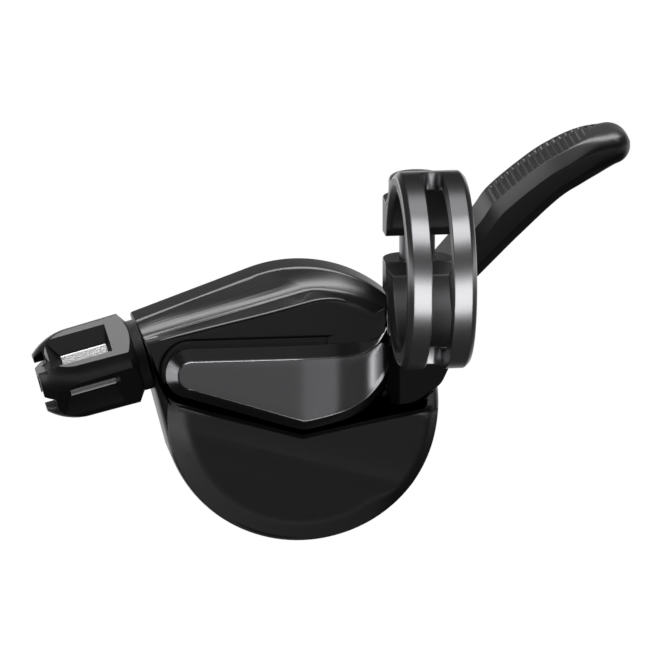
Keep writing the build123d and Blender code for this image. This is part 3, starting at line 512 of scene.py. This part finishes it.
def turnedRing(pieceName, span, finish):
    start, end, radius = span
    middle = barrelRoot + barrelOut * (start + end) / 2
    bpy.ops.object.select_all(action="DESELECT")
    bpy.ops.mesh.primitive_cylinder_add(
        vertices=barrelCare["sides"], radius=radius * mm, depth=(end - start) * mm,
        location=middle * mm, rotation=barrelOut.to_track_quat("Z", "Y").to_euler())
    ring = bpy.context.object
    ring.name = pieceName
    bpy.ops.object.transform_apply(location=True, rotation=True, scale=True)
    bpy.ops.object.mode_set(mode="EDIT")
    bpy.ops.mesh.select_all(action="DESELECT")
    bpy.ops.object.mode_set(mode="OBJECT")
    for face in ring.data.polygons:
        face.select = abs(face.normal.dot(barrelOut)) > barrelCare["capFacing"]
    bpy.ops.object.mode_set(mode="EDIT")
    dish = barrelCare["dish"] * mm
    bpy.ops.mesh.inset(thickness=dish, depth=-dish / 2, use_individual=True)
    bpy.ops.object.mode_set(mode="OBJECT")
    ring.data.materials.append(finish)
    bpy.ops.object.shade_smooth_by_angle(angle=math.radians(barrelCare["smooth"]))
    return ring


rootSeal = turnedRing("rootSeal", barrelCare["seal"], plugBlack)
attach(rootSeal, bodyOf["adjuster_barrel"])
stemSleeve = turnedRing("stemSleeve", barrelCare["sleeve"], sleeveSteel)
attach(stemSleeve, bodyOf["adjuster_stem"])
print("adjuster cage:", len(adjusterCage.data.polygons), "faces")


# Thumb lever: hub and arm from the solid, the curved paddle drawn through sections

def roundedSection(corners, steps, most):
    ring = []
    for index, (corner, radius) in enumerate(corners):
        toBefore = Vector(corners[index - 1][0]) - Vector(corner)
        toAfter = Vector(corners[(index + 1) % len(corners)][0]) - Vector(corner)
        reach = radius / math.tan(toBefore.angle(toAfter) / 2)
        reach = min(reach, most * toBefore.length, most * toAfter.length)
        start = Vector(corner) + toBefore.normalized() * reach
        end = Vector(corner) + toAfter.normalized() * reach
        for step in range(steps + 1):
            f = step / steps
            ring.append((1 - f) ** 2 * start + 2 * f * (1 - f) * Vector(corner) + f ** 2 * end)
    return ring


paddleCare = {
    "top": ((3.7, -3.2), (8.7, 2.45), (11.35, 5.9), (17.0, 10.42), (20.8, 12.65), (24.1, 14.3), (27.0, 14.9)),
    "low": ((6.9, -6.7), (11.3, -2.3), (14.6, 0.94), (19.9, 5.8), (23.3, 7.95), (26.2, 9.4), (28.2, 10.45)),
    "front": 14.0, "back": 24.9,
    "upperBevel": 1.65, "lowerBevel": 1.5, "bevelDepth": 1.5, "bevelHeight": 3.6,
    "edge": 0.16, "backEdge": 0.3, "cornerSteps": 5, "cornerShare": 0.45,
    "noseEdge": 2.4, "noseBackShare": 0.5, "noseFrom": 0.64, "noseFront": 4.4, "noseBack": 4.0,
    "noseClose": 0.985, "rootStep": 0.12, "rootShare": 0.07,
    "ballFrom": 0.62, "ballShare": 0.75, "ballPower": 3.2,
    "stations": 1600, "topSteps": 30, "noseStations": 14, "noseReach": 2.85,
}
padCare = {
    "first": 0.30, "last": 0.955, "rim": 0.5, "lip": 0.2, "narrowFrom": 0.55,
    "narrowBy": 0.85, "startRate": 24, "endRate": 20, "soft": 0.2, "backSoft": 1.3,
    "depth": 0.36, "pitch": 0.98, "ribStations": 8, "ridge": 0.9, "ribGain": 1.6, "ribShift": 0.3,
}


def padDepth(share, arc, depth):
    along = (share - padCare["first"]) / (padCare["last"] - padCare["first"])
    back = paddleCare["back"] - padCare["rim"]
    front = paddleCare["front"] + paddleCare["bevelDepth"] + padCare["lip"]
    narrow = max(0.0, (along - padCare["narrowFrom"]) / (1 - padCare["narrowFrom"]))
    front += (back - front) * padCare["narrowBy"] * narrow ** 2
    inside = easeIn((depth - front) / padCare["soft"]) * easeIn((back - depth) / padCare["backSoft"])
    inside *= easeIn(along * padCare["startRate"]) * easeIn((1 - along) * padCare["endRate"])
    wave = 0.5 + 0.5 * math.cos(2 * math.pi * arc / padCare["pitch"])
    rib = easeIn(wave * padCare["ribGain"] - padCare["ribShift"])
    return padCare["depth"] * inside * (1 - padCare["ridge"] * rib)


tops = smoothThrough(paddleCare["top"], paddleCare["stations"])
lows = smoothThrough(paddleCare["low"], paddleCare["stations"])
paddlePoints, paddleFaces = [], []
stationFrames = []
arc = nextArc = 0.0
for index, (top, low) in enumerate(zip(tops, lows)):
    arc += (top - tops[max(index - 1, 0)]).length
    if arc >= nextArc or index == paddleCare["stations"]:
        stationFrames.append((low, top, 0.0, index / paddleCare["stations"], nextArc))
        nextArc += padCare["pitch"] / padCare["ribStations"]
endLow, endTop = lows[-1], tops[-1]
ahead = Vector(((endTop - endLow)[1], -(endTop - endLow)[0])).normalized()
for step in range(1, paddleCare["noseStations"] + 1):
    swing = math.radians(90) * step / paddleCare["noseStations"]
    share = math.sin(swing)
    shrink = math.cos(swing * paddleCare["noseClose"])
    middle = (endLow + endTop) / 2 + ahead * paddleCare["noseReach"] * share
    lean = (endTop - endLow) / 2 * shrink
    stationFrames.append((middle - lean, middle + lean, 1 - shrink, 1.0, arc))
backEnd = paddleCare["cornerSteps"]
for low, top, nose, share, arc in stationFrames:
    height = (top - low).length
    front = paddleCare["front"] + paddleCare["noseFront"] * nose
    back = paddleCare["back"] - paddleCare["noseBack"] * nose
    back -= paddleCare["rootStep"] * (1 - easeIn(share / paddleCare["rootShare"]))
    ease = min(1.0, height / paddleCare["bevelHeight"])
    upper, lower = paddleCare["upperBevel"] * ease, paddleCare["lowerBevel"] * ease
    roundness = easeIn((share - paddleCare["noseFrom"]) / (1 - paddleCare["noseFrom"]))
    soft = paddleCare["edge"] + paddleCare["noseEdge"] * roundness
    backSoft = paddleCare["backEdge"] + paddleCare["noseEdge"] * paddleCare["noseBackShare"] * roundness
    corners = (
        ((back, height), backSoft),
        ((front + paddleCare["bevelDepth"], height), soft),
        ((front, height - upper), soft),
        ((front, lower), soft),
        ((front + paddleCare["bevelDepth"], 0.0), soft),
        ((back, 0.0), backSoft),
    )
    ring = roundedSection(corners, paddleCare["cornerSteps"], paddleCare["cornerShare"])
    topBack, topFront = ring[backEnd], ring[backEnd + 1]
    topSteps = paddleCare["topSteps"]
    across = [topBack.lerp(topFront, step / topSteps) for step in range(1, topSteps)]
    for spot in across:
        spot[1] -= padDepth(share, arc, spot[0]) if nose == 0 else 0
    ring = ring[:backEnd + 1] + across + ring[backEnd + 1:]
    ball = paddleCare["ballShare"] * easeIn((share - paddleCare["ballFrom"]) / (1 - paddleCare["ballFrom"]))
    heart = Vector(((front + back) / 2, height / 2))
    half = Vector(((back - front) / 2, height / 2))
    power = paddleCare["ballPower"]
    for index, spot in enumerate(ring):
        away = spot - heart
        span = sum(abs(away[k] / half[k]) ** power for k in (0, 1)) ** (1 / power)
        ring[index] = spot.lerp(heart + away / span, ball)
    along = (top - low).normalized() if height > tiny else Vector((0, 1))
    for depth, rise in ring:
        spot = low + along * rise
        paddlePoints.append((spot[0], depth, spot[1]))
paddleRing = len(paddlePoints) // len(stationFrames)
for station in range(len(stationFrames) - 1):
    for index in range(paddleRing):
        after = (index + 1) % paddleRing
        a, b = station * paddleRing, (station + 1) * paddleRing
        paddleFaces.append((a + index, b + index, b + after, a + after))
paddleFaces.append(tuple(range(paddleRing)))
paddleFaces.append(tuple(reversed(range(len(paddlePoints) - paddleRing, len(paddlePoints)))))
leverPaddle = meshPiece("leverPaddle", paddlePoints, paddleFaces, leverBlack)

leverEdges = {"flat": 0.3, "width": 0.4, "steps": 3, "angle": 26, "smooth": 30, "clamp": True}
leverCut = {"pod": (-16.7, -22.0), "reach": 29.0, "turn": 45}
thumbLever = mergedCopy("main_lever", "thumbLever", leverEdges["flat"])
lean = math.sin(math.radians(leverCut["turn"]))
cutX, cutZ = (middle + leverCut["reach"] * lean for middle in leverCut["pod"])
bpy.ops.object.mode_set(mode="EDIT")
bpy.ops.mesh.select_all(action="SELECT")
bpy.ops.mesh.bisect(plane_co=(cutX * mm, 0, cutZ * mm), plane_no=(lean, 0, lean),
                    use_fill=True, clear_outer=True)
bpy.ops.object.mode_set(mode="OBJECT")
softenEdges(thumbLever, leverEdges)
joinInto(thumbLever, leverPaddle)
standFor(thumbLever, "main_lever")
print("thumb lever:", len(thumbLever.data.polygons), "faces")


# Stage: pale floor, whose glow seen in reflections carries a painted shadow under and in front of the object,
# and studio sky, with a dark belt that gives the metal its contrast

def larger(parts, links, first, second):
    pick = parts.new("ShaderNodeMath")
    pick.operation = "MAXIMUM"
    links.new(first, pick.inputs[0])
    links.new(second, pick.inputs[1])
    return pick.outputs[0]


floorCare = {
    "size": 6.0, "below": 0.3, "colour": 0.82, "roughness": 0.9,
    "front": 0.25, "behind": 0.8, "shadowDim": 0.05,
}
bpy.ops.object.select_all(action="DESELECT")
bpy.ops.mesh.primitive_plane_add(size=floorCare["size"], location=(0, 0, 0))
floor = bpy.context.object
floor.name = "paleFloor"
bpy.ops.object.mode_set(mode="EDIT")
bpy.ops.mesh.select_all(action="SELECT")
bpy.ops.transform.translate(value=(0, 0, -floorCare["below"]))
bpy.ops.object.mode_set(mode="OBJECT")
paper, parts, links = newMaterial("paleFloor")
parts["Principled BSDF"].inputs["Base Color"].default_value = (*(floorCare["colour"],) * 3, 1)
parts["Principled BSDF"].inputs["Roughness"].default_value = floorCare["roughness"]
glow = parts.new("ShaderNodeEmission")
path = parts.new("ShaderNodeLightPath")
place = parts.new("ShaderNodeTexCoord")
split = parts.new("ShaderNodeSeparateXYZ")
links.new(place.outputs["Object"], split.inputs[0])
# Painted shadow: to reflections the floor glows dim under and in front of the object, rising to white behind
# it
floorShadowFade = parts.new("ShaderNodeMapRange")
floorShadowFade.inputs["From Min"].default_value = floorCare["front"]
floorShadowFade.inputs["From Max"].default_value = floorCare["behind"]
floorShadowFade.inputs["To Min"].default_value = floorCare["shadowDim"]
links.new(split.outputs["Y"], floorShadowFade.inputs["Value"])
glowLevel = larger(parts, links, path.outputs["Is Camera Ray"], floorShadowFade.outputs["Result"])
links.new(glowLevel, glow.inputs["Strength"])
seen = larger(parts, links, path.outputs["Is Camera Ray"], path.outputs["Is Glossy Ray"])
seen = larger(parts, links, seen, path.outputs["Is Transmission Ray"])
blend = parts.new("ShaderNodeMixShader")
links.new(seen, blend.inputs[0])
links.new(parts["Principled BSDF"].outputs[0], blend.inputs[1])
links.new(glow.outputs[0], blend.inputs[2])
links.new(blend.outputs[0], parts["Material Output"].inputs["Surface"])
floor.data.materials.append(paper)

skyStops = ((0.0, 0.2), (0.42, 0.5), (0.47, 1.0), (0.525, 1.0), (0.57, 0.05), (0.80, 0.05), (1.0, 0.08))
world = bpy.data.worlds.new("studioSky")
bpy.context.scene.world = world
world.use_nodes = True
parts, links = world.node_tree.nodes, world.node_tree.links
place = parts.new("ShaderNodeTexCoord")
split = parts.new("ShaderNodeSeparateXYZ")
links.new(place.outputs["Generated"], split.inputs[0])
height = parts.new("ShaderNodeMapRange")
height.inputs["From Min"].default_value = -1
links.new(split.outputs["Z"], height.inputs["Value"])
ramp = parts.new("ShaderNodeValToRGB")
stops = ramp.color_ramp.elements
for spot, level in skyStops:
    stop = stops[0] if spot == 0.0 else stops[-1] if spot == 1.0 else stops.new(spot)
    stop.color = (level, level, level, 1)
links.new(height.outputs["Result"], ramp.inputs["Fac"])
links.new(ramp.outputs["Color"], parts["Background"].inputs["Color"])


# Lamps: each one lights only the pieces that it is listed with

lampAim = Vector((-0.010, 0.006, -0.008))


def softbox(name, lamp, receivers):
    turn, rise = math.radians(lamp["turn"]), math.radians(lamp["rise"])
    away = Vector((math.sin(turn) * math.cos(rise), -math.cos(turn) * math.cos(rise), math.sin(rise)))
    bpy.ops.object.select_all(action="DESELECT")
    bpy.ops.object.light_add(type="AREA", location=lampAim + away * lamp["reach"])
    light = bpy.context.object
    light.name = name
    light.data.shape = "RECTANGLE"
    light.data.size, light.data.size_y = lamp["size"]
    light.data.energy = lamp["level"] * math.pi * lamp["size"][0] * lamp["size"][1]
    light.rotation_euler = away.to_track_quat("Z", "Y").to_euler()
    light.visible_camera = False
    group = bpy.data.collections.new(name + "Pieces")
    for piece in receivers:
        group.objects.link(piece)
    light.light_linking.receiver_collection = group


metalSlots = ("stem_steel", "bolt_steel", "plate_steel", "spring_steel", "bush_bronze")
dressed = ("main_housing", "clamp_bracket", "main_lever", "adjuster_barrel")  # shown by pieces made above
metals = [clampRing] + [node for nodeName, node in nodes.items() if slotOf[nodeName] in metalSlots]
blacks = [housingShell, adjusterCage, thumbLever, rootSeal]
blacks += [node for nodeName, node in nodes.items() if nodeName not in dressed]
lamps = {
    "ringTop": ({"turn": 7, "rise": 58, "reach": 0.6, "size": (0.6, 0.3), "level": 2.6}, metals),
    "ringHigh": ({"turn": 7, "rise": 94, "reach": 0.6, "size": (0.5, 0.3), "level": 0.8}, metals),
    "ringLow": ({"turn": 7, "rise": -19, "reach": 0.42, "size": (0.5, 0.28), "level": 2.8}, metals),
    "sleeveTop": ({"turn": 0, "rise": 88, "reach": 0.6, "size": (0.4, 0.3), "level": 4.5}, [stemSleeve]),
    "sleeveLow": ({"turn": 0, "rise": -60, "reach": 0.28, "size": (0.3, 0.1), "level": 0.3}, [stemSleeve]),
    "armBase": ({"turn": 1, "rise": -14, "reach": 0.5, "size": (0.26, 0.3), "level": 0.62}, [clampArm]),
    "armGlow": ({"turn": 19, "rise": -14, "reach": 0.5, "size": (0.04, 0.3), "level": 3.0}, [clampArm]),
    "armFold": ({"turn": 55, "rise": -13, "reach": 0.5, "size": (0.09, 0.3), "level": 9.0}, [clampArm]),
    "armFar": ({"turn": 74, "rise": -13, "reach": 0.5, "size": (0.16, 0.3), "level": 0.3}, [clampArm]),
    "armEdge": ({"turn": -10, "rise": 40, "reach": 0.5, "size": (0.32, 0.16), "level": 13.0}, [clampArm]),
    "armUnder": ({"turn": 24, "rise": -58, "reach": 0.31, "size": (0.2, 0.08), "level": 9.0}, [clampArm]),
    "armTip": ({"turn": -80, "rise": -10, "reach": 0.5, "size": (0.24, 0.6), "level": 4.0}, [clampArm]),
    "armTop": ({"turn": 0, "rise": 74, "reach": 0.5, "size": (0.5, 0.2), "level": 0.14}, [clampArm]),
    "crownBox": ({"turn": 0, "rise": 114, "reach": 0.62, "size": (0.8, 0.36), "level": 8.0}, blacks),
    "stripBox": ({"turn": -18, "rise": 58, "reach": 0.6, "size": (0.4, 0.1), "level": 2.0}, [housingShell]),
    "lineBox": ({"turn": 0, "rise": 55, "reach": 0.5, "size": (0.6, 0.5), "level": 10.0}, [crownBead]),
    "ridgeBox": ({"turn": 0, "rise": 30, "reach": 0.6, "size": (0.5, 0.14), "level": 5.5}, [housingShell]),
    "chamferBox": ({"turn": -66, "rise": 48, "reach": 0.6, "size": (0.22, 0.2), "level": 5.5}, [thumbLever]),
    "leftBox": ({"turn": -80, "rise": 12, "reach": 0.6, "size": (0.16, 0.5), "level": 2.0}, blacks),
    "sideBox": ({"turn": -54, "rise": 4, "reach": 0.5, "size": (0.06, 0.4), "level": 5.0}, [housingShell]),
    "rimBox": ({"turn": -32, "rise": -20, "reach": 0.5, "size": (0.16, 0.2), "level": 3.0}, [housingShell]),
    "underBox": ({"turn": -8, "rise": -48, "reach": 0.33, "size": (0.3, 0.1), "level": 0.6}, [housingShell]),
    "edgeBox": ({"turn": 66, "rise": -4, "reach": 0.5, "size": (0.06, 0.3), "level": 3.0}, [housingShell]),
    "cageBox": ({"turn": -20, "rise": 48, "reach": 0.6, "size": (0.3, 0.1), "level": 3.2}, [adjusterCage]),
    "faceFill": ({"turn": 7, "rise": -14, "reach": 0.5, "size": (0.5, 0.25), "level": 0.05}, blacks),
}
for name, (lamp, receivers) in lamps.items():
    softbox(name, lamp, receivers)

# Camera: a long lens, a little to the left of the clamp and above it
lens = {
    "azimuth": -7.0, "elevation": 14.0, "reach": 2.0, "span": 0.09218, "right": -0.01363, "up": -0.00870,
    "sensor": 36, "far": 20,
}
turn = math.radians(lens["azimuth"])
tilt = math.radians(lens["elevation"])
back = Vector((math.sin(turn) * math.cos(tilt), -math.cos(turn) * math.cos(tilt), math.sin(tilt)))
turned = back.to_track_quat("Z", "Y")
sideways = turned @ Vector((1, 0, 0))
upwards = turned @ Vector((0, 1, 0))
bpy.ops.object.camera_add(location=sideways * lens["right"] + upwards * lens["up"] + back * lens["reach"])
camera = bpy.context.object
camera.rotation_euler = turned.to_euler()
camera.data.sensor_width = lens["sensor"]
camera.data.lens = lens["sensor"] * lens["reach"] / lens["span"]
camera.data.clip_end = lens["far"]
bpy.context.scene.camera = camera
bpy.context.scene.view_settings.view_transform = "Standard"
print("stage, lamps and camera ready")
